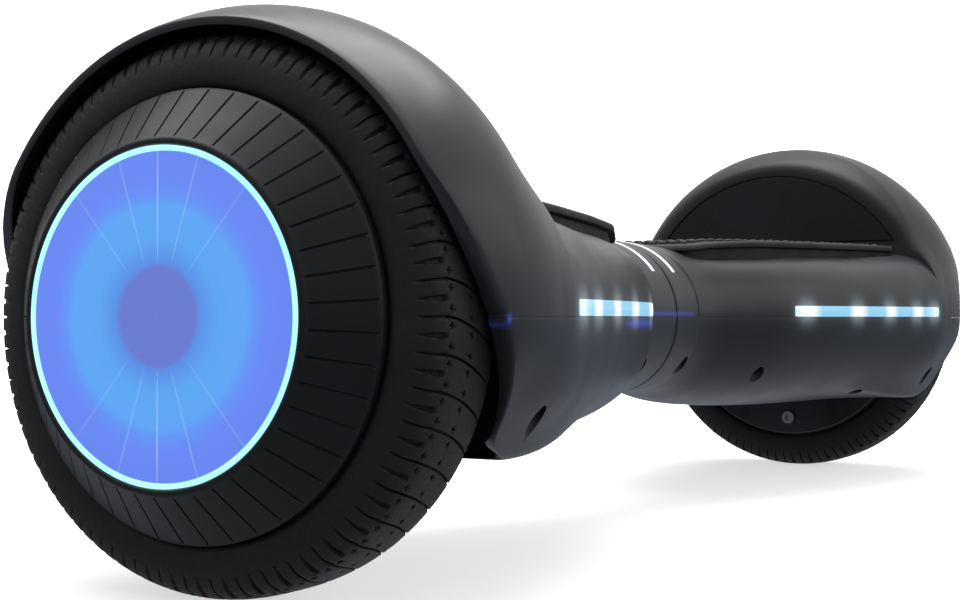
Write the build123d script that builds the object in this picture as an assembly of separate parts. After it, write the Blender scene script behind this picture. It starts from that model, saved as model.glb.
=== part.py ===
from build123d import *
import math
import os

os.makedirs("parts", exist_ok=True)

# ---------------------------------------------------------------- driving dimensions (mm)
TYRE_R = 82.5            # 6.5 inch wheel
AXLE_Z = TYRE_R          # axle height above the ground
HALF_LEN = 291.7         # centre seam to the outer face of a wheel
NECK_R = 33.0            # round collar at the centre pivot
SEAM = 0.5               # half of the gap between the two halves
NECK_END = 25.0
WALL = 2.6               # moulded shell wall
FENDER_WALL_X = 213.0    # inboard face of the fender
RIM_X = 273.5            # outboard edge of the fender
BELLY_Z = -42.0          # lowest edge of the fender, from the axle
PAD_X0, PAD_X1 = 38.0, 208.0
PAD_Z0, PAD_Z1 = 31.8, 37.2   # pad top at its neck end and at its fender end
PAD_T = 6.5
PAD_TRAVEL = 1.5
PAD_GAP = 0.5
STRIP_X0, STRIP_X1 = 80.5, 208.7
STRIP_Z0, STRIP_Z1 = 0.35, 5.3
ARC_X0, ARC_X1, ARC_DEG = 9.3, 12.1, 108.0
SHAFT_R, SHAFT_BORE = 11.0, 8.0
BUSH_R = 13.5
TUBE_R = 19.0
AXLE_R = 8.0
BEARING_R = 17.5
ROTOR_IN, ROTOR_OUT = 51.0, 60.0
STATOR_R = 47.8
CONE_R0, CONE_R1 = 65.2, 50.0
DISC_R, RING_R = 46.4, 47.9
SCREWS = [(22.0, 25.0), (71.0, 42.0), (163.0, 60.0), (218.5, 80.5)]
PORT_X, PORT_Z, PORT_TURN = 112.0, -14.0, 15.0
BUTTON_X = 78.0

# shell cross sections: x, half width, top, bottom, exponent of the top and bottom curves
SECTIONS = [
    (NECK_END, 33.0, 33.0, 33.0, 2.0, 2.0),
    (36.0, 35.8, 32.2, 34.3, 2.1, 2.05),
    (52.0, 43.5, 32.0, 37.6, 2.35, 2.1),
    (80.0, 57.0, 32.8, 41.2, 2.7, 2.25),
    (120.0, 69.6, 34.2, 43.3, 3.0, 2.5),
    (165.0, 80.6, 35.4, 43.6, 3.1, 2.8),
    (208.0, 89.5, 36.3, 43.2, 3.2, 3.1),
    (240.0, 92.0, 36.6, 42.4, 3.2, 3.2),
]
# fender crown, as a profile turned about the axle: x, radius
CROWN = [(213.0, 79.0), (214.0, 82.8), (217.2, 85.8), (223.5, 89.0), (232.0, 92.1), (241.0, 93.9),
         (251.0, 93.5), (261.0, 91.4), (RIM_X, 86.8)]
# wheel well above and below the axle: x, radius
WELL_UP = [(216.2, 76.0), (217.2, 79.5), (221.0, 83.0), (226.0, 86.0), (233.0, 89.0), (241.0, 90.8), (251.0, 90.4), (261.0, 88.6), (275.0, 83.9)]
WELL_LOW = [(216.2, 77.0), (221.0, 80.6), (236.4, 81.4), (237.2, 84.2), (275.0, 84.2)]
# half depth of the fender seen from above: x, y
PLAN = [(205.0, 89.5), (222.0, 92.3), (238.0, 93.4), (247.0, 92.2), (255.0, 89.9), (264.0, 87.4), (276.0, 84.5)]
# front and back of the fender below the axle: angle below the axle plane in degrees, radius
TUCK = [(0.0, 93.6), (6.3, 91.2), (14.1, 88.4), (21.9, 86.0), (30.5, 84.9), (45.0, 84.5), (90.0, 84.5)]
# outboard edge of the fender where it sweeps inboard at the front and the back: x, height from the axle
SWEEP = [(RIM_X + 1.0, 50.0), (272.4, 40.0), (269.4, 31.5), (264.0, 19.0), (257.0, 6.0), (253.0, -1.0), (247.4, -11.5),
         (240.0, -23.0), (230.0, -31.0), (222.5, -37.0), (219.0, -44.0)]


# ---------------------------------------------------------------- helpers
def box(x0, x1, y0, y1, z0, z1):
    return Pos((x0 + x1) / 2, (y0 + y1) / 2, (z0 + z1) / 2) * Box(x1 - x0, y1 - y0, z1 - z0)


def cyl_x(x0, x1, r, y=0.0, z=0.0):
    return Pos((x0 + x1) / 2, y, z) * Rot(0, 90, 0) * Cylinder(r, x1 - x0)


def cyl_z(x, y, z0, z1, r):
    return Pos(x, y, (z0 + z1) / 2) * Cylinder(r, z1 - z0)


def ring_x(x0, x1, r0, r1):
    return cyl_x(x0, x1, r1) - cyl_x(x0 - 1, x1 + 1, r0)


def turned(points):
    """A closed outline of (x, radius) points, turned about the axle."""
    wire = Polyline(*[(x, 0, r) for x, r in points], close=True)
    return revolve(make_face(wire), Axis.X)


def along(table, x, column=1):
    """Smooth interpolation in a table of rows that start with x."""
    if x <= table[0][0]:
        return table[0][column]
    if x >= table[-1][0]:
        return table[-1][column]
    i = max(k for k in range(len(table) - 1) if table[k][0] <= x)
    p = [table[max(0, min(len(table) - 1, k))] for k in (i - 1, i, i + 1, i + 2)]
    h = p[2][0] - p[1][0]
    m1 = (p[2][column] - p[0][column]) / (p[2][0] - p[0][0])
    m2 = (p[3][column] - p[1][column]) / (p[3][0] - p[1][0])
    t = (x - p[1][0]) / h
    return ((2 * t ** 3 - 3 * t ** 2 + 1) * p[1][column] + (t ** 3 - 2 * t ** 2 + t) * h * m1
            + (3 * t ** 2 - 2 * t ** 3) * p[2][column] + (t ** 3 - t ** 2) * h * m2)


def step(a, b, x):
    t = max(0.0, min(1.0, (x - a) / (b - a)))
    return t * t * (3 - 2 * t)


def low_of(a, b, k=1.5):
    """The smaller of two radii, rounded where they cross."""
    return -k * math.log(math.exp(-a / k) + math.exp(-b / k)) if abs(a - b) < 40 else min(a, b)


def body_r(x, phi):
    """Radius of the body from the axle line, at an angle above (+) or below (-) the axle plane, in degrees."""
    up = phi >= 0
    w, h, n = along(SECTIONS, x, 1), along(SECTIONS, x, 2 if up else 3), along(SECTIONS, x, 4 if up else 5)
    c, d = abs(math.cos(math.radians(phi))), abs(math.sin(math.radians(phi)))
    return ((c / w) ** n + (d / h) ** n) ** (-1 / n)


def fender_r(x, phi):
    c, d = abs(math.cos(math.radians(phi))), math.sin(math.radians(phi))
    r = along(CROWN, x)
    if c > 0.3:
        r = low_of(r, along(PLAN, x) / c)
    if d < 0:
        a = math.degrees(math.asin(min(1.0, -d)))
        r = low_of(r, along(TUCK, a), 1.0)
        r = low_of(r, -BELLY_Z / max(-d, 0.05), 0.8)
    return r


def skin_r(x, phi):
    """Radius of the outer skin: the body, flaring into the fender low down and meeting its upright wall higher up."""
    a = phi if phi <= 90 else 180 - phi
    if phi < -90:
        a = -180 - phi
    b = body_r(x, a)
    if x <= 130:
        return b
    flare = b + step(140, 222, x) * (max(fender_r(max(x, 222.0), a), b) - b)
    if x >= 222:
        flare = max(fender_r(x, a), 1.0)
    wall = b if x < 213.0 else max(b, fender_r(x, a))
    return flare + (wall - flare) * step(10, 32, a)


ANGLES_UP = [0, 6, 12, 18, 24, 30, 37, 45, 54, 63, 72, 81, 90]
ANGLES_LOW = [0, 7, 14, 22, 30, 36, 43, 51, 60, 70, 80, 90]
STATIONS = [SEAM, NECK_END, 30, 36, 44, 52, 66, 80, 100, 120, 142, 165, 180, 195, 206, 213.0, 213.8, 215.4, 217.2, 220, 224, 232, 241, 251, 261, 267, 275.5]


def polygon(x, off, upper, plain):
    base = ANGLES_UP if upper else ANGLES_LOW
    angles = base + [180 - a for a in reversed(base[:-1])]
    pts = []
    for a in angles:
        p = a if upper else -a
        r = (body_r(x, p if abs(p) <= 90 else math.copysign(180 - abs(p), p)) if plain else skin_r(min(x, RIM_X), p)) - off
        pts.append((x, r * math.cos(math.radians(p)), r * math.sin(math.radians(p)) if a not in (0, 180) else 0.0))
    return make_face(Polyline(*pts, close=True))


def hull_half(off, upper, x_from=SEAM, x_to=275.5, plain=False):
    """Half of the outer form above or below the parting plane, inset by off."""
    xs = [x_from] + [x for x in STATIONS if x_from + 0.5 < x < x_to - 0.5] + [x_to]
    return loft([polygon(x, off, upper, plain) for x in xs], ruled=True)


def slab(z_low, z_high, x0=30.0, x1=216.0):
    """A slab that follows the slope of the pad; heights are counted from the pad's top face."""
    k = (PAD_Z1 - PAD_Z0) / (PAD_X1 - PAD_X0)
    a, b = PAD_Z0 + k * (x0 - PAD_X0), PAD_Z0 + k * (x1 - PAD_X0)
    face = make_face(Polyline((x0, 0, a + z_low), (x1, 0, b + z_low), (x1, 0, b + z_high), (x0, 0, a + z_high), close=True))
    return extrude(face, amount=110, both=True)


def pad_plan(grow, z0=0.0, z1=60.0, r=9.0):
    side = [(PAD_X0, 21.0), (46.0, 26.0), (80.0, 41.0), (120.0, 52.0), (165.0, 61.5), (PAD_X1, 69.0)]
    pts = [(x, -y) for x, y in side] + [(x, y) for x, y in reversed(side)]
    face = make_face(Polyline(*pts, close=True))
    face = Pos(0, 0, z0) * offset(face, amount=-r)
    face = offset(face, amount=r + grow, kind=Kind.ARC)
    return extrude(face, amount=z1 - z0)


def group(*solids):
    return Compound([s for shape in solids for s in shape.solids()])


parts = {}

# ---------------------------------------------------------------- one half, built on the +X side
def cavity(upper):
    z0, z1 = (0, 60) if upper else (-60, 0)
    c = hull_half(WALL, upper, SEAM + 2.0, 213.6, plain=True)
    return c + (cyl_x(-1.0, 4.0, 26.0) & box(-2, 5, -60, 60, z0, z1))


def well_of(points):
    return turned([(points[0][0], 0.0)] + points + [(points[-1][0], 0.0)])


outer_up, outer_lo = hull_half(0, True), hull_half(0, False)
rim_cut = extrude(make_face(Polyline(*[(x, 0, z) for x, z in SWEEP], (320, 0, SWEEP[-1][1]), (320, 0, SWEEP[0][1]), close=True)), amount=130, both=True)
rim_cut = rim_cut + box(RIM_X, 330, -130, 130, 20, 140)
above, below = box(-20, 320, -130, 130, 0.12, 130), box(-20, 320, -130, 130, BELLY_Z - 2, -0.12)
plungers = [(80.0, 20.0), (80.0, -20.0), (166.0, 30.0), (166.0, -30.0)]


def screw_columns(rows, z0, z1, r):
    cols = [cyl_z(x, s * y, z0, z1, r) for x, y in rows for s in (1, -1)]
    body = cols[0]
    for c in cols[1:]:
        body = body + c
    return body


# top shell: outer form, less the cavity (which leaves the pad tray and the screw columns standing)
cavity_up = cavity(True) - (pad_plan(PAD_GAP + 2.4) & slab(-PAD_T - 4.2, 8.0))
cavity_up = cavity_up - screw_columns(SCREWS[1:2], -1, 26, 3.4) - screw_columns(SCREWS[2:3], -1, 30, 3.8)
well_up = well_of(WELL_UP) - screw_columns(SCREWS[3:], -1, 9, 3.8)
top = outer_up - cavity_up - well_up - rim_cut
top = top - (pad_plan(PAD_GAP) & slab(-PAD_T - 2.0, 40.0))
for px, py in plungers:
    top = top - cyl_z(px, py, 5, 60, 4.6)
panel_zone = (cyl_x(FENDER_WALL_X - 1, FENDER_WALL_X + 1.4, 77.0)) & box(200, 230, -100, 100, 40.0, 100)
top = top - panel_zone
strip_box = box(STRIP_X0, STRIP_X1, -120, 0, STRIP_Z0, STRIP_Z1)
strip = (outer_up & strip_box) - hull_half(1.7, True, 70, 215)
top = top - (box(STRIP_X0 - 0.1, STRIP_X1 + 0.1, -120, 0, STRIP_Z0 - 0.1, STRIP_Z1 + 0.1) - hull_half(1.8, True, 70, 215))
arc_zone = extrude(make_face(Polyline((0, 0, 0), (0, -90 * math.tan(math.radians(ARC_DEG / 2)) / 1.6, 90 / 1.6),
                                      (0, 90 * math.tan(math.radians(ARC_DEG / 2)) / 1.6, 90 / 1.6), close=True)), amount=40, both=True)
arc = ring_x(ARC_X0, ARC_X1, NECK_R - 1.4, NECK_R) & arc_zone
top = top - (ring_x(ARC_X0 - 0.05, ARC_X1 + 0.05, NECK_R - 1.45, NECK_R + 1) & arc_zone)
top = top - ring_x(NECK_END - 0.7, NECK_END, NECK_R - 0.8, NECK_R + 3)      # collar groove
top = top - screw_columns(SCREWS, -1, 8, 1.55)
top = top - cyl_x(205, 225, 21.0)
top = top & above

# bottom shell
cavity_lo = cavity(False) - screw_columns(SCREWS[:3], -60, 1, 4.6)
well_lo = well_of(WELL_LOW) - screw_columns(SCREWS[3:], -60, 1, 4.6)
low = outer_lo - cavity_lo - well_lo - rim_cut
low = low - screw_columns(SCREWS, -70, -12, 3.3) - screw_columns(SCREWS, -20, 1, 1.75)
low = low - cyl_x(205, 225, 21.0)
low = low & below

pad = pad_plan(0) & slab(-PAD_T, 0.0)
pad = fillet(pad.faces().sort_by(Axis.Z)[-1].edges(), 1.8)
stems = group(*[cyl_z(px, py, 12.2, 40, 4.0) & slab(-12 - PAD_T, -PAD_T) for px, py in plungers])
panel = (cyl_x(FENDER_WALL_X + 0.35, FENDER_WALL_X + 1.4, 76.6) & box(200, 230, -100, 100, 40.4, 100))
screws = group(*[cyl_z(sx, s * sy, -13.4, -12.0, 2.9) + cyl_z(sx, s * sy, -12.2, 7.5 if sx < 200 else 6.5, 1.5)
                 for sx, sy in SCREWS for s in (1, -1)])

# structure
def frame_half(bore):
    tube = cyl_x(3.2, 64.0, TUBE_R)
    web = extrude(make_face(Polyline((28, 0, -12), (28, 0, -27), (52, 0, -32.5), (76, 0, -33), (72, 0, -28), (62, 0, -14), close=True)),
                  amount=8, both=True)
    spine = box(62, 104, -15, 15, -33, -28.2) + box(100, 212, -30, 30, -37, -28.2)
    block = box(186, 212, -25, 25, -33, -0.2)
    ribs = box(176, 187, -25, -20, -29, -14) + box(176, 187, 20, 25, -29, -14)
    f = tube + web + spine + block + ribs
    f = f - cyl_x(0, 70, bore) - cyl_x(170, 220, AXLE_R + 0.02)
    for cx in (192.0, 206.0):
        for s in (1, -1):
            f = f - cyl_z(cx, s * 17.0, -20, 5, 3.05)
    return f

clamp = box(187, 211, -25, 25, 0.2, 8) + (cyl_x(187, 211, 15.5) & box(180, 220, -25, 25, 0.2, 20))
clamp = clamp - cyl_x(180, 220, AXLE_R + 0.02)
for cx in (192.0, 206.0):
    for s in (1, -1):
        clamp = clamp - cyl_z(cx, s * 17.0, -20, 30, 3.05)
clamp = clamp - cyl_z(192, 17, 8.0, 30, 5.4) - cyl_z(192, -17, 8.0, 30, 5.4) - cyl_z(206, 17, 8.0, 30, 5.4) - cyl_z(206, -17, 8.0, 30, 5.4)
clamp_screws = group(*[(cyl_z(cx, s * 17.0, -18, 8.0, 3.0) + cyl_z(cx, s * 17.0, 8.0, 13.0, 5.0)) - cyl_z(cx, s * 17.0, 10.5, 14, 2.3)
                       for cx in (192.0, 206.0) for s in (1, -1)])
axle = (cyl_x(182, 273.4, AXLE_R) - cyl_x(180, 246, 3.2))
stator = cyl_x(244.4, 265.6, STATOR_R) - cyl_x(240, 270, AXLE_R + 0.01)
for i in range(18):
    a = math.radians(20 * i)
    stator = stator - cyl_x(240, 270, 4.6, 38.0 * math.cos(a), 38.0 * math.sin(a))
gyro = group(box(72, 178, -34, 34, 6.0, 7.6), *[box(px - 5, px + 5, py - 4, py + 4, 7.6, 10.4) for px, py in plungers],
             box(108, 132, -12, 12, 7.6, 10.2))
path = FilletPolyline((181.9, 0, 0), (174, 0, 0), (174, 43, 0), (104, 43, 0), radius=7.0)
cable = sweep(Plane(origin=(181.9, 0, 0), z_dir=(-1, 0, 0)) * Circle(3.0), path=path)
cable = group(cable, box(94, 104, 38, 48, -4, 4))

# wheel
tyre_outline = [(240.6, 60.0), (240.6, 64.9), (238.6, 66.6), (238.4, 73.5), (240.3, 77.6), (243.2, 80.9), (248.1, 82.1), (256.5, TYRE_R),
                (265.0, 82.1), (269.9, 80.9), (272.8, 77.6), (274.7, 73.5), (275.0, 69.0), (274.6, 66.2), (273.0, 65.4), (273.0, 60.0)]
tyre = turned(tyre_outline)
rim = turned([(240.6, ROTOR_IN), (240.6, ROTOR_OUT), (273.0, ROTOR_OUT), (273.0, 21.5), (266.4, 21.5), (266.4, BEARING_R), (273.6, BEARING_R),
              (273.6, 22.5), (273.0, 22.5)][:1] + [(240.6, ROTOR_OUT), (273.0, ROTOR_OUT), (273.0, BEARING_R), (266.6, BEARING_R), (266.6, 21.0),
              (270.0, 21.0), (270.0, ROTOR_IN)])
cover = turned([(240.5, 64.6), (237.4, 64.6), (236.6, 63.8), (236.6, 26.0), (232.0, 22.0), (230.6, 21.0), (230.6, 9.0), (232.8, 9.0), (232.8, BEARING_R), (240.5, BEARING_R)])
cover_screws, magnets = [], []
for i in range(6):
    a = math.radians(60 * i + 30)
    y, z = 55.5 * math.cos(a), 55.5 * math.sin(a)
    cover = cover - cyl_x(230, 245, 2.05, y, z)
    rim = rim - cyl_x(240, 251, 2.05, y, z)
    cover_screws.append((cyl_x(234.2, 236.6, 3.4, y, z) + cyl_x(236, 250, 2.0, y, z)) - cyl_x(234, 235.6, 1.6, y, z))
cover_screws = group(*cover_screws)
magnet = ring_x(244.0, 266.0, 48.5, ROTOR_IN - 0.02) & box(240, 270, -4.6, 4.6, 40, 60)
magnets = group(*[Rot(12 * i, 0, 0) * magnet for i in range(30)])
bearings = group(ring_x(232.9, 240.9, AXLE_R + 0.05, BEARING_R - 0.01), ring_x(266.7, 273.0, AXLE_R + 0.05, BEARING_R - 0.01))
cone = turned([(273.1, 61.0), (273.1, 65.2), (276.4, 65.6), (277.4, 65.0), (290.7, 50.6), (291.5, 49.8), (291.6, 48.2), (288.9, 48.2), (288.9, 44.5),
               (286.9, 44.5), (286.9, 48.4), (275.3, 61.0)])
led_board = group(cyl_x(285.2, 286.8, 47.4), *[box(286.8, 287.8, 30 * math.cos(math.radians(a)) - 2.5, 30 * math.cos(math.radians(a)) + 2.5,
                  30 * math.sin(math.radians(a)) - 2.5, 30 * math.sin(math.radians(a)) + 2.5) for a in range(0, 360, 30)])
led_disc = turned([(289.0, 0.0), (289.0, DISC_R), (291.0, DISC_R), (291.3, DISC_R - 0.4), (291.3, 0.0)])
led_ring = ring_x(289.0, 291.5, DISC_R + 0.05, RING_R)

half = {
    "top_shell": top, "bottom_shell": low, "fender_panel": panel, "foot_pad": pad, "pad_plungers": stems, "led_strip": strip,
    "indicator_arc": arc, "shell_screws": screws, "axle_clamp": clamp, "clamp_screws": clamp_screws, "axle": axle, "stator": stator,
    "gyro_board": gyro, "motor_cable": cable, "tyre": tyre, "hub_rim": rim, "motor_cover": cover, "cover_screws": cover_screws,
    "magnets": magnets, "wheel_bearings": bearings, "hub_cover": cone, "led_board": led_board, "led_disc": led_disc, "led_ring": led_ring,
}
for name, shape in half.items():
    parts["right_" + name] = shape
    parts["left_" + name] = mirror(shape, about=Plane.YZ)
parts["right_frame"] = frame_half(BUSH_R + 0.02)
parts["left_frame"] = mirror(frame_half(SHAFT_R + 0.02), about=Plane.YZ)

# ---------------------------------------------------------------- centre pivot
shaft = (cyl_x(-64.0, 68.0, SHAFT_R) - cyl_x(-70, 70, SHAFT_BORE)) - ring_x(64.8, 66.2, 10.2, 14) 
parts["pivot_shaft"] = shaft
parts["pivot_bushes"] = group(*[ring_x(a, b, SHAFT_R + 0.05, BUSH_R) for a, b in ((3.4, 20.0), (47.0, 63.8))])
parts["pivot_circlip"] = (ring_x(64.9, 66.1, 10.25, 14.0) - box(60, 70, -2.5, 2.5, 5, 20))
parts["bridge_harness"] = group(*[cyl_x(-72, 72, 2.3, 2.4 * math.cos(math.radians(a)) * 1.15, 2.4 * math.sin(math.radians(a)) * 1.15) for a in (90, 210, 330)])

# ---------------------------------------------------------------- electronics
battery = fillet(box(80, 170, -34, 34, -27.9, 4.0).edges().filter_by(Axis.X), 5.0)
parts["battery_pack"] = battery
posts = [cyl_z(-x, y, -28.2, -22.0, 2.5) for x in (108.0, 168.0) for y in (26.0, -26.0)]
parts["main_board"] = group(box(-176, -84, -33, 33, -22.0, -20.4), *posts, *[cyl_z(-x, -22, -20.4, -6.4, 6.0) for x in (100.0, 114.0, 128.0)],
                            box(-172, -120, 8, 30, -20.4, -9.0), box(-112, -96, 8, 26, -20.4, -12.0))

# ---------------------------------------------------------------- charging port, its cap and the power button, at the back of the right half
def on_back(x, z, turn=PORT_TURN):
    w = None
    for a, b in zip(SECTIONS, SECTIONS[1:]):
        if a[0] <= x <= b[0]:
            t = (x - a[0]) / (b[0] - a[0])
            w = [p + (q - p) * t for p, q in zip(a, b)]
    y = w[1] * (1 - (abs(z) / w[3]) ** w[5]) ** (1 / w[5])
    return Pos(x, y, z) * Rot(0, 0, turn)


def cyl_y(y0, y1, r, x=0.0, z=0.0):
    return Pos(x, (y0 + y1) / 2, z) * Rot(-90, 0, 0) * Cylinder(r, y1 - y0)

port_at = on_back(PORT_X, PORT_Z)
port = cyl_y(-14, -0.5, 9.4) + cyl_y(-1.0, 1.4, 11.4)
port = port + (box(-7.6, -4.4, -1.0, 4.4, 8.2, 14.0)) + (box(4.4, 7.6, -1.0, 4.4, 8.2, 14.0))
port = port - cyl_y(-11, 3, 7.6) - cyl_y(-1.0, 8, 7.6)
port = port - (Pos(0, 2.7, 12.2) * Rot(0, 90, 0) * Cylinder(1.05, 40)) - (Pos(0, 2.7, 12.2) * Rot(0, 90, 0) * Cylinder(2.6, 8.8))
pins = [cyl_y(-12, -7.4, 1.0, 3.6 * math.cos(math.radians(a)), 3.6 * math.sin(math.radians(a))) for a in (90, 210, 330)]
parts["charge_port"] = port_at * (port + pins[0] + pins[1] + pins[2])
cap = cyl_y(1.75, 3.6, 11.0) & box(-20, 20, 0, 9, -20, 7.6)
cap = cap + cyl_y(-1.0, 2.0, 6.9)
cap = cap + box(-3.9, 3.9, 1.75, 3.6, 0, 12.2) + (Pos(0, 2.7, 12.2) * Rot(0, 90, 0) * Cylinder(1.9, 7.8)) + (Pos(0, 2.7, 12.2) * Rot(0, 90, 0) * Cylinder(1.0, 15.0))
parts["charge_port_cap"] = port_at * cap
button_at = on_back(BUTTON_X, PORT_Z, 18.0)
bezel = cyl_y(-11, -0.5, 7.4) + cyl_y(-1.0, 1.3, 9.4)
bezel = bezel - cyl_y(-9.4, 5, 6.0)
parts["button_bezel"] = button_at * bezel
parts["power_button"] = button_at * (cyl_y(-8.0, 1.9, 5.6))
hinge_room = box(-8.4, 8.4, -1.6, 9.0, 7.0, 15.4)
for cut in (port_at * cyl_y(-30, 9.0, 11.6), button_at * cyl_y(-30, 9.0, 9.6), port_at * hinge_room):
    parts["right_bottom_shell"] = parts["right_bottom_shell"] - (cut & box(40, 200, 0, 200, -60, 60))
parts["right_top_shell"] = parts["right_top_shell"] - (port_at * hinge_room)

for name, shape in parts.items():
    shape = Pos(0, 0, AXLE_Z) * shape
    solids = shape.solids()
    if len(solids) > 1 and name.endswith("_shell"):
        print(name, "pieces", [round(x.volume, 1) for x in solids])
        shape = max(solids, key=lambda x: x.volume)
    export_step(shape, f"parts/{name}.step")
print(len(parts), "nodes")
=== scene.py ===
import bpy
import bmesh
import math
import numpy as np
from mathutils import Vector, Matrix


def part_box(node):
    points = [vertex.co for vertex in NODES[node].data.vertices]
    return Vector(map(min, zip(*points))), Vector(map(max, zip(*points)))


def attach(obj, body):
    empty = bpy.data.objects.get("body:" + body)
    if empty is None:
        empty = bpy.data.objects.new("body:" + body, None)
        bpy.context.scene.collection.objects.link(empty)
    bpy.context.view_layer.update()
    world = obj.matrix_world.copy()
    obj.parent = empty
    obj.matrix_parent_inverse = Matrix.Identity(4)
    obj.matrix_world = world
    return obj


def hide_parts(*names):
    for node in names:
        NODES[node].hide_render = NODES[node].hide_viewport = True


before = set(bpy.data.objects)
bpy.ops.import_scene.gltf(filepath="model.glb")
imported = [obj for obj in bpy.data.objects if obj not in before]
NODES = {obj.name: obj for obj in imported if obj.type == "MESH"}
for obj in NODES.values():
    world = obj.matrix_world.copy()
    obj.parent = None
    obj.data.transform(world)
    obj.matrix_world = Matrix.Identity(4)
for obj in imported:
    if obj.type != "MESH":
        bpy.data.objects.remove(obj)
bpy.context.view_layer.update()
scene = bpy.context.scene
scene.view_settings.view_transform = "Standard"

# ------------------------------------------------------------------ sizes shared with the CAD (mm, heights from the axle)
lo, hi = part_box("left_tyre")
AXLE = (lo.z + hi.z) / 2
R_TYRE = 82.5
SECTIONS = [(25.0, 33.0, 33.0, 33.0, 2.0, 2.0), (36.0, 35.8, 32.2, 34.3, 2.1, 2.05), (52.0, 43.5, 32.0, 37.6, 2.35, 2.1),
            (80.0, 57.0, 32.8, 41.2, 2.7, 2.25), (120.0, 69.6, 34.2, 43.3, 3.0, 2.5), (165.0, 80.6, 35.4, 43.6, 3.1, 2.8),
            (208.0, 89.5, 36.3, 43.2, 3.2, 3.1), (240.0, 92.0, 36.6, 42.4, 3.2, 3.2)]
CROWN = [(213.0, 79.0), (214.0, 82.8), (217.2, 85.8), (223.5, 89.0), (232.0, 92.1), (241.0, 93.9), (251.0, 93.5), (261.0, 91.4), (273.5, 86.8)]
PLAN = [(205.0, 89.5), (222.0, 92.3), (238.0, 93.4), (247.0, 92.2), (255.0, 89.9), (264.0, 87.4), (276.0, 84.5)]
TUCK = [(0.0, 93.6), (6.3, 91.2), (14.1, 88.4), (21.9, 86.0), (30.5, 84.9), (45.0, 84.5), (90.0, 84.5)]
SWEEP = [(274.5, 50.0), (272.4, 40.0), (269.4, 31.5), (264.0, 19.0), (257.0, 6.0), (253.0, -1.0), (248.0, -11.5), (243.5, -20.0), (240.5, -28.0),
         (238.6, -34.5), (234.0, -38.5), (226.0, -41.2), (219.0, -44.0)]
WELL_UP = [(216.2, 76.0), (217.2, 79.5), (221.0, 83.0), (226.0, 86.0), (233.0, 89.0), (241.0, 90.8), (251.0, 90.4), (261.0, 88.6), (275.0, 83.9)]
WELL_LOW = [(216.2, 77.0), (221.0, 80.6), (236.4, 81.4), (237.2, 84.2), (275.0, 84.2)]
SCREWS = [(22.0, 25.0), (71.0, 42.0), (163.0, 60.0), (218.5, 80.5)]
PAD = [(38.0, 21.0), (46.0, 26.0), (80.0, 41.0), (120.0, 52.0), (165.0, 61.5), (208.0, 69.0)]
BELLY, RIM_X, WALL, NECK_R = 42.0, 273.5, 2.6, 33.0


def along(t, x, c=1):
    if x <= t[0][0]:
        return t[0][c]
    if x >= t[-1][0]:
        return t[-1][c]
    i = max(k for k in range(len(t) - 1) if t[k][0] <= x)
    p = [t[max(0, min(len(t) - 1, k))] for k in (i - 1, i, i + 1, i + 2)]
    h = p[2][0] - p[1][0]
    m1 = (p[2][c] - p[0][c]) / (p[2][0] - p[0][0])
    m2 = (p[3][c] - p[1][c]) / (p[3][0] - p[1][0])
    s = (x - p[1][0]) / h
    return ((2 * s ** 3 - 3 * s ** 2 + 1) * p[1][c] + (s ** 3 - 2 * s ** 2 + s) * h * m1 + (3 * s ** 2 - 2 * s ** 3) * p[2][c] + (s ** 3 - s ** 2) * h * m2)


def straight(t, x):
    return float(np.interp(x, [p[0] for p in t], [p[1] for p in t]))


def step(a, b, x):
    t = max(0.0, min(1.0, (x - a) / (b - a)))
    return t * t * (3 - 2 * t)


def low_of(a, b, k=1.5):
    return -k * math.log(math.exp(-a / k) + math.exp(-b / k)) if abs(a - b) < 40 else min(a, b)


def body_r(x, phi):
    up = phi >= 0
    w, h, n = along(SECTIONS, x, 1), along(SECTIONS, x, 2 if up else 3), along(SECTIONS, x, 4 if up else 5)
    c, d = abs(math.cos(math.radians(phi))), abs(math.sin(math.radians(phi)))
    return ((c / w) ** n + (d / h) ** n) ** (-1 / n)


def fender_r(x, phi):
    c, d = abs(math.cos(math.radians(phi))), math.sin(math.radians(phi))
    deg = math.degrees(math.asin(max(-1.0, min(1.0, d))))
    r = along(CROWN, x) + (along(CROWN, max(x, 241.0)) - along(CROWN, x)) * (1 - step(10, 32, deg))
    if c > 0.3:
        r = low_of(r, along(PLAN, x) / c)
    if d < 0:
        r = low_of(r, along(TUCK, math.degrees(math.asin(min(1.0, -d)))), 1.0)
        r = low_of(r, BELLY / max(-d, 0.05), 0.8)
    return r


def skin_r(x, a):
    b = body_r(x, a)
    if x <= 130:
        return b
    f = max(fender_r(max(x, 222.0), a), 1.0)
    late, turn = step(196, 238, x), step(10, 32, abs(a))
    flare = b + (f - b) * (late + ((step(140, 222, x) if f > b else late) - late) * turn)
    wall = b if x < 213.0 else max(b, fender_r(x, a))
    return flare + (wall - flare) * step(10, 32, a)


def rim_x(a):
    x = 255.0
    for _ in range(12):
        z = skin_r(min(x, RIM_X), a) * math.sin(math.radians(a))
        new = RIM_X if z > 45 else min(RIM_X, along(sorted([(p[1], p[0]) for p in SWEEP]), z))
        x = 0.5 * x + 0.5 * new
    return max(x, 217.0)


# ------------------------------------------------------------------ mesh helpers
def build(name, verts_mm, faces, body, replace=(), angle=35.0, flip=False):
    me = bpy.data.meshes.new(name)
    co = np.asarray(verts_mm, float) * 0.001
    co[:, 2] += AXLE
    me.from_pydata([tuple(v) for v in co], [], [tuple(reversed(f)) if flip else tuple(f) for f in faces])
    me.validate()
    me.update()
    ob = bpy.data.objects.new(name, me)
    scene.collection.objects.link(ob)
    me.shade_smooth()
    me.set_sharp_from_angle(angle=math.radians(angle))
    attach(ob, body)
    if replace:
        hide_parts(*replace)
    return ob


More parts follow.
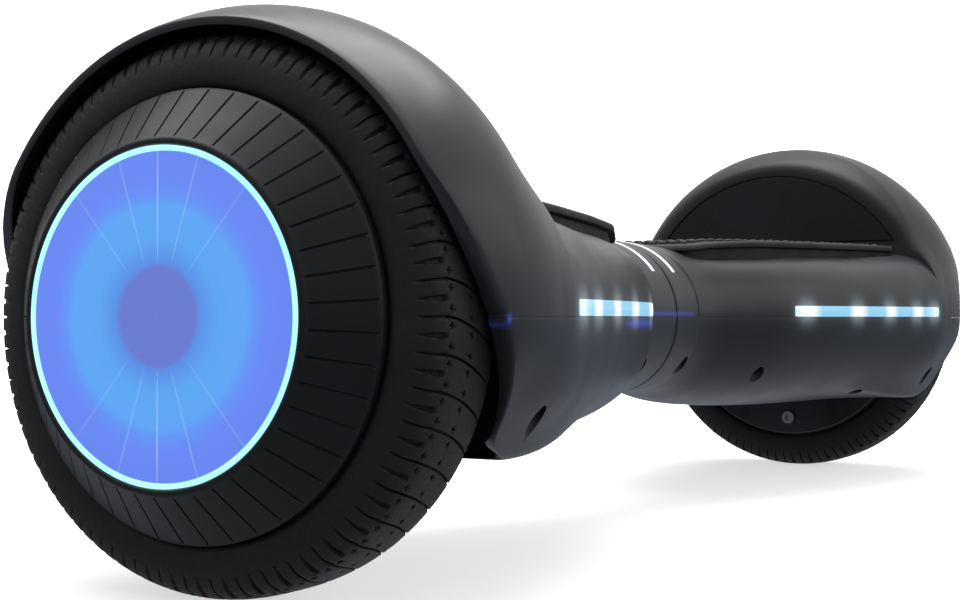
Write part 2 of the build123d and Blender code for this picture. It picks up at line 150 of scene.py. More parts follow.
def grid_faces(rows, cols, wrap_r=False, wrap_c=False, start=0):
    out = []
    for i in range(rows if wrap_r else rows - 1):
        for j in range(cols if wrap_c else cols - 1):
            a, b = i, (i + 1) % rows
            c, d = j, (j + 1) % cols
            out.append((start + a * cols + c, start + a * cols + d, start + b * cols + d, start + b * cols + c))
    return out


def outward(ob):
    bm = bmesh.new()
    bm.from_mesh(ob.data)
    bmesh.ops.recalc_face_normals(bm, faces=bm.faces)
    bm.to_mesh(ob.data)
    bm.free()


def turned(name, profile, body, replace=(), cols=192, closed=True, angle=35.0, side=1):
    """profile: (x, r) points in mm, turned about the axle."""
    th = np.linspace(0, 2 * np.pi, cols, endpoint=False)
    V = [(side * x, r * math.cos(t), r * math.sin(t)) for x, r in profile for t in th]
    ob = build(name, V, grid_faces(len(profile), cols, wrap_r=closed, wrap_c=True), body, replace, angle)
    outward(ob)
    return ob


def rounded(points, radius, seg=4):
    """A polyline profile with its corners rounded."""
    pts = [np.array(p, float) for p in points]
    out, n = [], len(pts)
    for i in range(n):
        a, b, c = pts[i - 1], pts[i], pts[(i + 1) % n]
        u, v = a - b, c - b
        lu, lv = np.linalg.norm(u), np.linalg.norm(v)
        r = min(radius, lu * 0.45, lv * 0.45)
        p, q = b + u / lu * r, b + v / lv * r
        for k in range(seg + 1):
            t = k / seg
            out.append(tuple((1 - t) ** 2 * p + 2 * t * (1 - t) * b + t ** 2 * q))
    return out


# ------------------------------------------------------------------ materials
def mat(name):
    m = bpy.data.materials.new(name)
    m.use_nodes = True
    nt = m.node_tree
    for n in list(nt.nodes):
        nt.nodes.remove(n)
    out = nt.nodes.new("ShaderNodeOutputMaterial")
    bs = nt.nodes.new("ShaderNodeBsdfPrincipled")
    nt.links.new(bs.outputs["BSDF"], out.inputs["Surface"])
    tc = nt.nodes.new("ShaderNodeTexCoord")
    return m, nt, bs, tc


def noise(nt, tc, scale, detail=3.0, rough=0.55):
    n = nt.nodes.new("ShaderNodeTexNoise")
    n.inputs["Scale"].default_value = scale
    n.inputs["Detail"].default_value = detail
    n.inputs["Roughness"].default_value = rough
    nt.links.new(tc.outputs["Object"], n.inputs["Vector"])
    return n


def ramp(nt, src, stops, interp="LINEAR"):
    r = nt.nodes.new("ShaderNodeValToRGB")
    r.color_ramp.interpolation = interp
    e = r.color_ramp.elements
    while len(e) < len(stops):
        e.new(0.5)
    for el, (p, c) in zip(e, stops):
        el.position = p
        el.color = (*c, 1.0) if len(c) == 3 else c
    nt.links.new(src, r.inputs["Fac"])
    return r


def mapped(nt, src, a, b, c, d):
    m = nt.nodes.new("ShaderNodeMapRange")
    for k, v in zip(("From Min", "From Max", "To Min", "To Max"), (a, b, c, d)):
        m.inputs[k].default_value = v
    nt.links.new(src, m.inputs["Value"])
    return m


def bump(nt, bs, src, strength, distance, prev=None):
    b = nt.nodes.new("ShaderNodeBump")
    b.inputs["Strength"].default_value = strength
    b.inputs["Distance"].default_value = distance
    nt.links.new(src, b.inputs["Height"])
    if prev is not None:
        nt.links.new(prev.outputs["Normal"], b.inputs["Normal"])
    nt.links.new(b.outputs["Normal"], bs.inputs["Normal"])
    return b


def moulded(name, dark, light, rough=(0.32, 0.42), grain=1800.0, grain_depth=0.00002, coat=0.0, coat_rough=0.2, spec=0.5, edge_highlight=0.0):
    """Moulded plastic: cloudy colour, fine grain, slight roughness changes and convex edges painted lighter as an edge
    highlight.
    """
    m, nt, bs, tc = mat(name)
    cloud = noise(nt, tc, 22.0, 4.0)
    col = ramp(nt, cloud.outputs["Fac"], [(0.3, dark), (0.7, light)])
    last = col.outputs["Color"]
    # convex edges (found by pointiness) mixed towards a much lighter colour: a painted edge highlight
    if edge_highlight > 0:
        geo = nt.nodes.new("ShaderNodeNewGeometry")
        edge = mapped(nt, geo.outputs["Pointiness"], 0.515, 0.56, 0.0, edge_highlight)
        mix = nt.nodes.new("ShaderNodeMix")
        mix.data_type = "RGBA"
        nt.links.new(edge.outputs["Result"], mix.inputs["Factor"])
        nt.links.new(last, mix.inputs["A"])
        mix.inputs["B"].default_value = (*[min(1.0, c * 2.6 + 0.03) for c in light], 1.0)
        last = mix.outputs["Result"]
    nt.links.new(last, bs.inputs["Base Color"])
    rn = noise(nt, tc, 60.0, 3.0)
    nt.links.new(mapped(nt, rn.outputs["Fac"], 0.3, 0.7, rough[0], rough[1]).outputs["Result"], bs.inputs["Roughness"])
    g = noise(nt, tc, grain, 2.0)
    bump(nt, bs, g.outputs["Fac"], 0.35, grain_depth)
    bs.inputs["Specular IOR Level"].default_value = spec
    if coat:
        bs.inputs["Coat Weight"].default_value = coat
        bs.inputs["Coat Roughness"].default_value = coat_rough
    return m


def metal(name, colour, rough=(0.25, 0.4), brushed=False):
    m, nt, bs, tc = mat(name)
    n = noise(nt, tc, 90.0, 4.0)
    c2 = tuple(c * 0.82 for c in colour)
    nt.links.new(ramp(nt, n.outputs["Fac"], [(0.3, c2), (0.7, colour)]).outputs["Color"], bs.inputs["Base Color"])
    nt.links.new(mapped(nt, n.outputs["Fac"], 0.3, 0.7, *rough).outputs["Result"], bs.inputs["Roughness"])
    bs.inputs["Metallic"].default_value = 1.0
    g = noise(nt, tc, 900.0 if brushed else 300.0, 2.0)
    bump(nt, bs, g.outputs["Fac"], 0.25, 0.00003)
    return m


def math_node(nt, op, a, b=None):
    n = nt.nodes.new("ShaderNodeMath")
    n.operation = op
    for k, v in enumerate((a, b)):
        if v is None:
            continue
        if isinstance(v, (int, float)):
            n.inputs[k].default_value = v
        else:
            nt.links.new(v, n.inputs[k])
    return n.outputs["Value"]


def add_dark_face(m):
    nt = m.node_tree
    bs = next(n for n in nt.nodes if n.type == "BSDF_PRINCIPLED")
    tc = next(n for n in nt.nodes if n.type == "TEX_COORD")
    sep = nt.nodes.new("ShaderNodeSeparateXYZ")
    nt.links.new(tc.outputs["Object"], sep.inputs["Vector"])
    ax = math_node(nt, "ABSOLUTE", sep.outputs["X"])
    ay = math_node(nt, "ABSOLUTE", sep.outputs["Y"])
    z = math_node(nt, "SUBTRACT", sep.outputs["Z"], AXLE)
    ang = math_node(nt, "ARCTAN2", z, ay)
    edge = ramp(nt, math_node(nt, "DIVIDE", ang, math.pi / 2), [(0.0, (0.211,) * 3), (0.20, (0.2125,) * 3), (0.33, (0.2165,) * 3), (0.5, (0.2235,) * 3), (0.72, (0.2315,) * 3), (1.0, (0.2375,) * 3)])
    d = math_node(nt, "SUBTRACT", edge.outputs["Color"], ax)
    face = mapped(nt, d, -0.0016, 0.0016, 0.0, 1.0).outputs["Result"]
    inb = mapped(nt, ax, 0.2118, 0.2126, 0.0, 1.0).outputs["Result"]
    high = mapped(nt, z, 0.036, 0.040, 0.0, 1.0).outputs["Result"]
    k = math_node(nt, "MULTIPLY", math_node(nt, "MULTIPLY", face, inb), high)
    old = bs.inputs["Base Color"].links[0].from_socket
    mix = nt.nodes.new("ShaderNodeMix")
    mix.data_type = "RGBA"
    nt.links.new(k, mix.inputs["Factor"])
    nt.links.new(old, mix.inputs["A"])
    mix.inputs["B"].default_value = (0.0075, 0.0095, 0.0125, 1.0)
    nt.links.new(mix.outputs["Result"], bs.inputs["Base Color"])
    old = bs.inputs["Roughness"].links[0].from_socket
    mr_ = nt.nodes.new("ShaderNodeMix")
    nt.links.new(k, mr_.inputs["Factor"])
    nt.links.new(old, mr_.inputs["A"])
    mr_.inputs["B"].default_value = 0.55
    nt.links.new(mr_.outputs["Result"], bs.inputs["Roughness"])


def add_spill(m):
    """Light from the strips that falls on the casing round them."""
    nt = m.node_tree
    bs = next(n for n in nt.nodes if n.type == "BSDF_PRINCIPLED")
    tc = next(n for n in nt.nodes if n.type == "TEX_COORD")
    sep = nt.nodes.new("ShaderNodeSeparateXYZ")
    nt.links.new(tc.outputs["Object"], sep.inputs["Vector"])
    along_x = math_node(nt, "ABSOLUTE", sep.outputs["X"])
    toward_left = math_node(nt, "MULTIPLY", sep.outputs["X"], -1.0)
    front = mapped(nt, sep.outputs["Y"], -0.024, -0.031, 0.0, 1.0).outputs["Result"]

    def blob(x0, x1, z0, reach_x, reach_z, power, side_=0):
        ax = along_x if side_ == 0 else toward_left
        d1 = math_node(nt, "MAXIMUM", math_node(nt, "SUBTRACT", x0, ax), math_node(nt, "SUBTRACT", ax, x1))
        d1 = math_node(nt, "DIVIDE", math_node(nt, "MAXIMUM", d1, 0.0), reach_x)
        d2 = math_node(nt, "DIVIDE", math_node(nt, "SUBTRACT", sep.outputs["Z"], AXLE + z0), reach_z)
        q = math_node(nt, "ADD", math_node(nt, "MULTIPLY", d1, d1), math_node(nt, "MULTIPLY", d2, d2))
        e = math_node(nt, "POWER", 2.718, math_node(nt, "MULTIPLY", q, -1.0))
        return math_node(nt, "MULTIPLY", math_node(nt, "MULTIPLY", e, front), power)
    white = None
    for xs_ in (0.0890, 0.1285, 0.1580, 0.1850, 0.2035):
        b_ = blob(xs_ - 0.0015, xs_ + 0.0015, 0.0028, 0.0045, 0.0050, 0.30)
        white = b_ if white is None else math_node(nt, "ADD", white, b_)
    white = math_node(nt, "ADD", white, blob(0.082, 0.208, 0.0028, 0.004, 0.0036, 0.05))
    blue = blob(0.092, 0.135, -0.0022, 0.009, 0.0013, 0.46, -1)
    blue = math_node(nt, "ADD", blue, blob(-0.014, 0.080, 0.0015, 0.004, 0.0009, 0.30, -1))
    blue = math_node(nt, "ADD", blue, blob(0.2520, 0.2521, -0.0006, 0.0006, 0.0014, 0.5, -1))
    c1 = nt.nodes.new("ShaderNodeVectorMath")
    c1.operation = "SCALE"
    c1.inputs[0].default_value = (0.72, 0.88, 1.0)
    nt.links.new(white, c1.inputs["Scale"])
    c2 = nt.nodes.new("ShaderNodeVectorMath")
    c2.operation = "SCALE"
    c2.inputs[0].default_value = (0.035, 0.09, 0.75)
    nt.links.new(blue, c2.inputs["Scale"])
    tot = nt.nodes.new("ShaderNodeVectorMath")
    tot.operation = "ADD"
    nt.links.new(c1.outputs["Vector"], tot.inputs[0])
    nt.links.new(c2.outputs["Vector"], tot.inputs[1])
    nt.links.new(tot.outputs["Vector"], bs.inputs["Emission Color"])
    bs.inputs["Emission Strength"].default_value = 0.9


SHELL = moulded("shell_plastic", (0.030, 0.033, 0.039), (0.036, 0.040, 0.046), rough=(0.30, 0.38), grain=2600.0, grain_depth=0.000008, coat=0.12, coat_rough=0.22, edge_highlight=0.25)
PANEL = moulded("panel_plastic", (0.0125, 0.0150, 0.0185), (0.019, 0.0225, 0.027), rough=(0.22, 0.3), grain=2600.0, grain_depth=0.000006)
RUBBER = moulded("pad_rubber", (0.011, 0.0115, 0.0125), (0.018, 0.0185, 0.020), rough=(0.55, 0.75), grain=1500.0, grain_depth=0.00004, edge_highlight=0.5)
BLACK = moulded("black_plastic", (0.010, 0.010, 0.011), (0.016, 0.016, 0.018), rough=(0.35, 0.5), grain=2000.0, grain_depth=0.00001)
GREY = moulded("button_plastic", (0.10, 0.105, 0.11), (0.15, 0.155, 0.16), rough=(0.3, 0.42), grain=2000.0, grain_depth=0.00001)
STEEL = metal("steel", (0.55, 0.56, 0.58), brushed=True)
ALU = metal("cast_aluminium", (0.62, 0.63, 0.65), rough=(0.45, 0.6))
BRONZE = metal("bronze", (0.55, 0.36, 0.16))
COPPER = metal("windings", (0.55, 0.24, 0.09))
DARKSTEEL = moulded("painted_steel", (0.014, 0.015, 0.017), (0.026, 0.027, 0.030), rough=(0.35, 0.5), grain=700.0, grain_depth=0.00002, edge_highlight=0.4)
PCB = moulded("circuit_board", (0.004, 0.055, 0.020), (0.008, 0.085, 0.032), rough=(0.25, 0.4), grain=900.0, grain_depth=0.00002)
WRAP = moulded("battery_wrap", (0.010, 0.045, 0.20), (0.016, 0.065, 0.26), rough=(0.2, 0.35), grain=300.0, grain_depth=0.0001)


def tyre_material():
    m, nt, bs, tc = mat("tyre_rubber")
    a, b = noise(nt, tc, 35.0, 5.0), noise(nt, tc, 900.0, 3.0)
    nt.links.new(ramp(nt, a.outputs["Fac"], [(0.25, (0.022, 0.022, 0.0215)), (0.55, (0.029, 0.029, 0.028)), (0.8, (0.037, 0.036, 0.035))]).outputs["Color"], bs.inputs["Base Color"])
    nt.links.new(mapped(nt, b.outputs["Fac"], 0.3, 0.7, 0.52, 0.72).outputs["Result"], bs.inputs["Roughness"])
    bump(nt, bs, b.outputs["Fac"], 0.4, 0.00004)
    bs.inputs["Specular IOR Level"].default_value = 0.42
    return m


TYRE = tyre_material()
HUB = moulded("hub_plastic", (0.018, 0.020, 0.023), (0.025, 0.027, 0.031), rough=(0.38, 0.48), grain=2400.0, grain_depth=0.00001, coat=0.03, coat_rough=0.3, spec=0.32, edge_highlight=0.2)


def polar(nt, tc):
    """Radius (mm) from the axle line and the y and z distances, in metres."""
    sep = nt.nodes.new("ShaderNodeSeparateXYZ")
    nt.links.new(tc.outputs["Object"], sep.inputs["Vector"])
    z = nt.nodes.new("ShaderNodeMath")
    z.operation = "SUBTRACT"
    z.inputs[1].default_value = AXLE
    nt.links.new(sep.outputs["Z"], z.inputs[0])
    comb = nt.nodes.new("ShaderNodeCombineXYZ")
    nt.links.new(sep.outputs["Y"], comb.inputs["X"])
    nt.links.new(z.outputs["Value"], comb.inputs["Y"])
    ln = nt.nodes.new("ShaderNodeVectorMath")
    ln.operation = "LENGTH"
    nt.links.new(comb.outputs["Vector"], ln.inputs[0])
    return sep, z, ln


def disc_material():
    m, nt, bs, tc = mat("led_disc_glow")
    sep, z, ln = polar(nt, tc)
    wob = noise(nt, tc, 30.0, 2.0)
    add = nt.nodes.new("ShaderNodeMath")
    add.operation = "MULTIPLY_ADD"
    add.inputs[1].default_value = 0.0030
    nt.links.new(wob.outputs["Fac"], add.inputs[0])
    nt.links.new(ln.outputs["Value"], add.inputs[2])
    fac = mapped(nt, add.outputs["Value"], 0.0015, 0.0485, 0.0, 1.0)
    col = ramp(nt, fac.outputs["Result"], [(0.0, (0.150, 0.205, 0.64)), (0.295, (0.150, 0.205, 0.66)), (0.335, (0.105, 0.30, 0.86)), (0.47, (0.115, 0.41, 0.95)),
                                           (0.66, (0.120, 0.41, 0.99)), (0.72, (0.135, 0.32, 0.99)), (0.80, (0.150, 0.265, 0.98)), (1.0, (0.145, 0.255, 0.93))])
    # faint radial light lines, above and below the centre
    at = nt.nodes.new("ShaderNodeMath")
    at.operation = "ARCTAN2"
    nt.links.new(sep.outputs["Y"], at.inputs[0])
    az = nt.nodes.new("ShaderNodeMath")
    az.operation = "ABSOLUTE"
    nt.links.new(z.outputs["Value"], az.inputs[0])
    nt.links.new(az.outputs["Value"], at.inputs[1])
    ab = nt.nodes.new("ShaderNodeMath")
    ab.operation = "ABSOLUTE"
    nt.links.new(at.outputs["Value"], ab.inputs[0])
    total = None
    for centre, width, power in ((0.0, 0.010, 0.85), (math.radians(18), 0.009, 0.5), (math.radians(41), 0.012, 0.25)):
        d = nt.nodes.new("ShaderNodeMath")
        d.operation = "SUBTRACT"
        d.inputs[1].default_value = centre
        nt.links.new(ab.outputs["Value"], d.inputs[0])
        e = nt.nodes.new("ShaderNodeMath")
        e.operation = "ABSOLUTE"
        nt.links.new(d.outputs["Value"], e.inputs[0])
        s = mapped(nt, e.outputs["Value"], 0.0, width, power, 0.0)
        if total is None:
            total = s.outputs["Result"]
        else:
            t = nt.nodes.new("ShaderNodeMath")
            t.operation = "MAXIMUM"
            nt.links.new(total, t.inputs[0])
            nt.links.new(s.outputs["Result"], t.inputs[1])
            total = t.outputs["Value"]
    reach = ramp(nt, fac.outputs["Result"], [(0.30, (0, 0, 0)), (0.42, (1, 1, 1)), (0.80, (0.8, 0.8, 0.8)), (1.0, (0.35, 0.35, 0.35))])
    k = nt.nodes.new("ShaderNodeMath")
    k.operation = "MULTIPLY"
    nt.links.new(total, k.inputs[0])
    nt.links.new(reach.outputs["Color"], k.inputs[1])
    mix = nt.nodes.new("ShaderNodeMix")
    mix.data_type = "RGBA"
    nt.links.new(k.outputs["Value"], mix.inputs["Factor"])
    nt.links.new(col.outputs["Color"], mix.inputs["A"])
    mix.inputs["B"].default_value = (0.55, 0.75, 1.0, 1.0)
    nt.links.new(mix.outputs["Result"], bs.inputs["Emission Color"])
    bs.inputs["Emission Strength"].default_value = 0.90
    bs.inputs["Base Color"].default_value = (0.02, 0.04, 0.12, 1.0)
    bs.inputs["Roughness"].default_value = 0.35
    g = noise(nt, tc, 1500.0, 2.0)
    bump(nt, bs, g.outputs["Fac"], 0.2, 0.00001)
    return m


def ring_material():
    m, nt, bs, tc = mat("led_ring_glow")
    n = noise(nt, tc, 40.0, 2.0)
    nt.links.new(ramp(nt, n.outputs["Fac"], [(0.3, (0.36, 0.90, 1.0)), (0.7, (0.50, 0.98, 1.0))]).outputs["Color"], bs.inputs["Emission Color"])
    bs.inputs["Emission Strength"].default_value = 1.15
    bs.inputs["Base Color"].default_value = (0.2, 0.5, 0.55, 1.0)
    bs.inputs["Roughness"].default_value = 0.25
    return m


def strip_material():
    """Light strip with brighter spots at the LEDs behind the lens."""
    m, nt, bs, tc = mat("led_strip_glow")
    sep = nt.nodes.new("ShaderNodeSeparateXYZ")
    nt.links.new(tc.outputs["Object"], sep.inputs["Vector"])
    ax = nt.nodes.new("ShaderNodeMath")
    ax.operation = "ABSOLUTE"
    nt.links.new(sep.outputs["X"], ax.inputs[0])
    f = mapped(nt, ax.outputs["Value"], 0.0805, 0.2087, 0.0, 1.0)
    white, cyan = (0.97, 1.0, 1.0), (0.30, 0.66, 0.90)
    stops = [(0.0, (0.62, 0.92, 0.98)), (0.035, white), (0.10, white), (0.15, cyan), (0.31, cyan), (0.35, white), (0.405, white), (0.45, cyan), (0.56, cyan), (0.595, white), (0.63, white),
             (0.67, cyan), (0.77, cyan), (0.80, white), (0.84, white), (0.88, cyan), (0.93, (0.5, 0.85, 0.95)), (0.965, white), (1.0, (0.62, 0.92, 0.98))]
    nt.links.new(ramp(nt, f.outputs["Result"], stops).outputs["Color"], bs.inputs["Emission Color"])
    bs.inputs["Emission Strength"].default_value = 0.95
    bs.inputs["Base Color"].default_value = (0.02, 0.03, 0.032, 1.0)
    bs.inputs["Roughness"].default_value = 0.2
    g = noise(nt, tc, 800.0, 2.0)
    bump(nt, bs, g.outputs["Fac"], 0.2, 0.00002)
    return m


def arc_material():
    m, nt, bs, tc = mat("led_arc_glow")
    n = noise(nt, tc, 50.0, 2.0)
    nt.links.new(ramp(nt, n.outputs["Fac"], [(0.3, (0.66, 0.66, 1.0)), (0.6, (0.95, 0.97, 1.0))]).outputs["Color"], bs.inputs["Emission Color"])
    bs.inputs["Emission Strength"].default_value = 1.25
    bs.inputs["Base Color"].default_value = (0.4, 0.4, 0.5, 1.0)
    bs.inputs["Roughness"].default_value = 0.25
    return m


add_dark_face(SHELL)
add_spill(SHELL)
DISC, RING, STRIP, ARC = disc_material(), ring_material(), strip_material(), arc_material()


def give(ob, m):
    ob.data.materials.clear()
    ob.data.materials.append(m)


# ------------------------------------------------------------------ shells
def outer_xs(upper):
    xs = [0.95, 3.0, 6.0, 9.0, 12.5, 16.0, 19.0, 22.0, 24.0]
    xs += [24.25, 24.4, 24.75, 24.9] if upper else [24.4, 24.8]
    xs += [25.2, 27.0, 30.0] + [30.0 + 4.0 * i for i in range(1, 45)] + [209.0, 211.0, 212.3]
    return xs


OUT = {True: outer_xs(True), False: outer_xs(False)}
CURVE = [0.0, 0.012, 0.03, 0.055, 0.085, 0.12, 0.16, 0.21, 0.27, 0.33, 0.40, 0.47, 0.54, 0.61, 0.68, 0.75, 0.82, 0.89, 0.94, 0.975]


def loop(a, upper):
    """One closed section loop of the shell at an angle: (x, radius, is_outer)."""
    p = [(2.5, 26.0, 0), (0.5, 26.0, 0), (0.5, NECK_R - 0.45, 1), (0.62, NECK_R - 0.13, 1)]
    for x in OUT[upper]:
        r = body_r(x, a) if x <= 130 else skin_r(x, a)
        if upper and 24.2 < x < 24.95:
            r -= 0.75 if 24.3 < x < 24.8 else 0.12
        p.append((x, r, 1))
    r0, r1 = skin_r(212.99, a), skin_r(213.0, a)
    jump = r1 - r0 > 0.4
    for t in (0.04, 0.3, 0.6, 0.9):
        x = 212.95 + 0.1 * t
        p.append((x, r0 + (r1 - r0) * t, 1) if jump else (212.55 + 0.45 * t, skin_r(212.55 + 0.45 * t, a), 1))
    xr = rim_x(a)
    for t in CURVE:
        x = 213.1 + (xr - 1.0 - 213.1) * t
        p.append((x, skin_r(max(x, 213.0), a), 1))
    rr = skin_r(min(xr, RIM_X), a)
    upw = step(-4, 4, a)
    well = lambda x: min(straight(WELL_LOW, x) + (straight(WELL_UP, x) - straight(WELL_LOW, x)) * upw, skin_r(min(x, RIM_X), a) - 2.0)
    ri = min(rr - 2.0, max(84.1 if xr > 236 else well(xr), 0.0))
    p += [(xr - 0.35, rr - 0.10, 1), (xr - 0.08, rr - 0.38, 1), (xr, rr - 0.8, 1), (xr, ri + 0.7, 0), (xr - 0.12, ri + 0.3, 0), (xr - 0.5, ri, 0)]
    for t in (0.12, 0.3, 0.5, 0.7, 0.88, 1.0):
        x = xr - 0.5 + (216.3 - xr + 0.5) * t
        p.append((x, min(well(x), well(x)), 0))
    top = p[-1][1]
    for t in (0.15, 0.5, 1.0):
        p.append((216.2, top + (22.0 - top) * t, 0))
    b = body_r(213.6, a) - WALL
    p += [(213.6, 22.0, 0), (213.6, 22.0 + (b - 22.0) * 0.5, 0), (213.6, b, 0)]
    for x in (208.0, 190.0, 165.0, 140.0, 115.0, 90.0, 70.0, 52.0, 36.0, 26.0, 12.0, 2.5):
        p.append((x, body_r(x, a) - WALL, 0))
    return p


def shell(side, upper):
    s = 1 if side == "right" else -1
    base = [i * 2.0 for i in range(1, 46)]
    if not upper:
        base = [i * 2.0 for i in range(1, 14)] + [27.0, 28.0, 29.0, 29.7, 30.4, 31.2, 32.0, 33.0, 34.5] + [36.0 + 2.0 * i for i in range(28)]
    angles = base + [180 - a for a in reversed(base[:-1])]
    cols = []
    zs = ((0.02, 0.10), (0.08, 0.02), (0.5, 0.0), (1.1, 0.0))

    def end_cols(mirror):
        made = []
        for z, off in zs:
            l = loop(0.35 if upper else -0.35, upper)
            made.append([(x, (-1 if mirror else 1) * math.sqrt(max((r - (off if o else -off * 0.4)) ** 2 - z * z, 1.0)), z if upper else -z) for x, r, o in l])
        return made
    cols += end_cols(False)
    cache = {}
    for a in angles:
        q = a if a <= 90 else 180 - a
        if q not in cache:
            cache[q] = loop(q if upper else -q, upper)
        cs, sn = math.cos(math.radians(a)), math.sin(math.radians(a)) * (1 if upper else -1)
        cols.append([(x, r * cs, r * sn) for x, r, _ in cache[q]])
    cols += list(reversed(end_cols(True)))
    n = len(cols[0])
    V = [(s * x, max(-92.35, min(92.35, y)), min(93.82, z)) for c in cols for x, y, z in c]
    F = grid_faces(len(cols), n, wrap_c=True)
    F += [tuple(range(n)), tuple(reversed(range((len(cols) - 1) * n, len(cols) * n)))]
    name = f"{side}_{'upper' if upper else 'lower'}_casing"
    ob = build(name, V, F, f"{side}_chassis", (f"{side}_{'top' if upper else 'bottom'}_shell",), 38.0)
    outward(ob)
    return ob


def prism(points, z0, z1, bottom=None):
    """A closed prism from a plan outline; heights in mm from the axle."""
    n = len(points)
    V = [(x, y, z0 if bottom is None else bottom(x)) for x, y in points] + [(x, y, z1) for x, y in points]
    F = [tuple(reversed(range(n))), tuple(range(n, 2 * n))] + [(i, (i + 1) % n, n + (i + 1) % n, n + i) for i in range(n)]
    return V, F


def cylinder(axis_from, axis_to, r, seg=40, r2=None):
    a, b = Vector(axis_from), Vector(axis_to)
    d = (b - a).normalized()
    u = d.orthogonal().normalized()
    v = d.cross(u)
    V = []
    for p, rr in ((a, r), (b, r if r2 is None else r2)):
        V += [tuple(p + (u * math.cos(2 * math.pi * i / seg) + v * math.sin(2 * math.pi * i / seg)) * rr) for i in range(seg)]
    F = [tuple(reversed(range(seg))), tuple(range(seg, 2 * seg))] + [(i, (i + 1) % seg, seg + (i + 1) % seg, seg + i) for i in range(seg)]
    return V, F


def cut(ob, tools):
    """Takes the tool solids out of a mesh for good."""
    V, F = [], []
    for tv, tf in tools:
        k = len(V)
        V += tv
        F += [tuple(k + i for i in f) for f in tf]
    me = bpy.data.meshes.new("tool")
    co = np.array(V) * 0.001
    co[:, 2] += AXLE
    me.from_pydata([tuple(c) for c in co], [], F)
    tool = bpy.data.objects.new("tool", me)
    scene.collection.objects.link(tool)
    bm = bmesh.new()
    bm.from_mesh(me)
    bmesh.ops.recalc_face_normals(bm, faces=bm.faces)
    bm.to_mesh(me)
    bm.free()
    mod = ob.modifiers.new("cut", "BOOLEAN")
    mod.operation, mod.solver, mod.object = "DIFFERENCE", "EXACT", tool
    dg = bpy.context.evaluated_depsgraph_get()
    new = bpy.data.meshes.new_from_object(ob.evaluated_get(dg))
    ob.modifiers.remove(mod)
    if len(new.polygons) > 100:
        old = ob.data
        ob.data = new
        bpy.data.meshes.remove(old)
    bpy.data.objects.remove(tool)
    ob.data.shade_smooth()
    ob.data.set_sharp_from_angle(angle=math.radians(38))


def pad_outline(grow, r=9.0):
    side = [(x, -y) for x, y in PAD] + [(x, y) for x, y in reversed(PAD)]
    n, out = len(side), []
    pts = [np.array(p, float) for p in side]
    c = np.array((125.0, 0.0))
    for i in range(n):
        a, b, d = pts[i - 1], pts[i], pts[(i + 1) % n]
        u, v = (a - b) / np.linalg.norm(a - b), (d - b) / np.linalg.norm(d - b)
        k = min(r, 9.0 if i in (0, n - 1, n // 2 - 1, n // 2) else 4.0, np.linalg.norm(a - b) * 0.45, np.linalg.norm(d - b) * 0.45)
        for t in np.linspace(0, 1, 7):
            p = (1 - t) ** 2 * (b + u * k) + 2 * t * (1 - t) * b + t ** 2 * (b + v * k)
            out.append(p)
    out = np.array(out)
    if grow:
        nrm = np.roll(out, -1, 0) - np.roll(out, 1, 0)
        nrm = np.stack([nrm[:, 1], -nrm[:, 0]], 1)
        nrm /= np.linalg.norm(nrm, axis=1)[:, None]
        out = out + nrm * grow
    return [tuple(p) for p in out]


K = 5.4 / 170.0
pad_top = lambda x: 31.8 + K * (abs(x) - 38.0)
mat_top = lambda x: 34.9 + (37.2 - 34.9) / 170.0 * (abs(x) - 38.0) - 2.3 * step(62.0, 36.0, abs(x))


def half_disc(x0, x1, r, z_low, seg=72):
    a0 = math.asin(z_low / r)
    ring = [(r * math.cos(a), r * math.sin(a)) for a in np.linspace(a0, math.pi - a0, seg)]
    V = [(x0, y, z) for y, z in ring] + [(x1, y, z) for y, z in ring]
    F = [tuple(range(seg)), tuple(reversed(range(seg, 2 * seg)))] + [(i, (i + 1) % seg, seg + (i + 1) % seg, seg + i) for i in range(seg)]
    return V, F


def turn_about(p, centre, deg):
    c, s = math.cos(math.radians(deg)), math.sin(math.radians(deg))
    return (centre[0] + p[0] * c - p[1] * s, centre[1] + p[0] * s + p[1] * c, centre[2] + p[2])


socket_y = ((57.0 + 12.6 * 0.8) * (1 - (14 / (41.2 + 2.1 * 0.8)) ** 2.45) ** (1 / 2.45))
PORT = (112.0, socket_y, -14.0)
blo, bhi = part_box("button_bezel")
BUTTON = (78.0, ((blo.y + bhi.y) / 2 * 1000) + 4.6, -14.0)

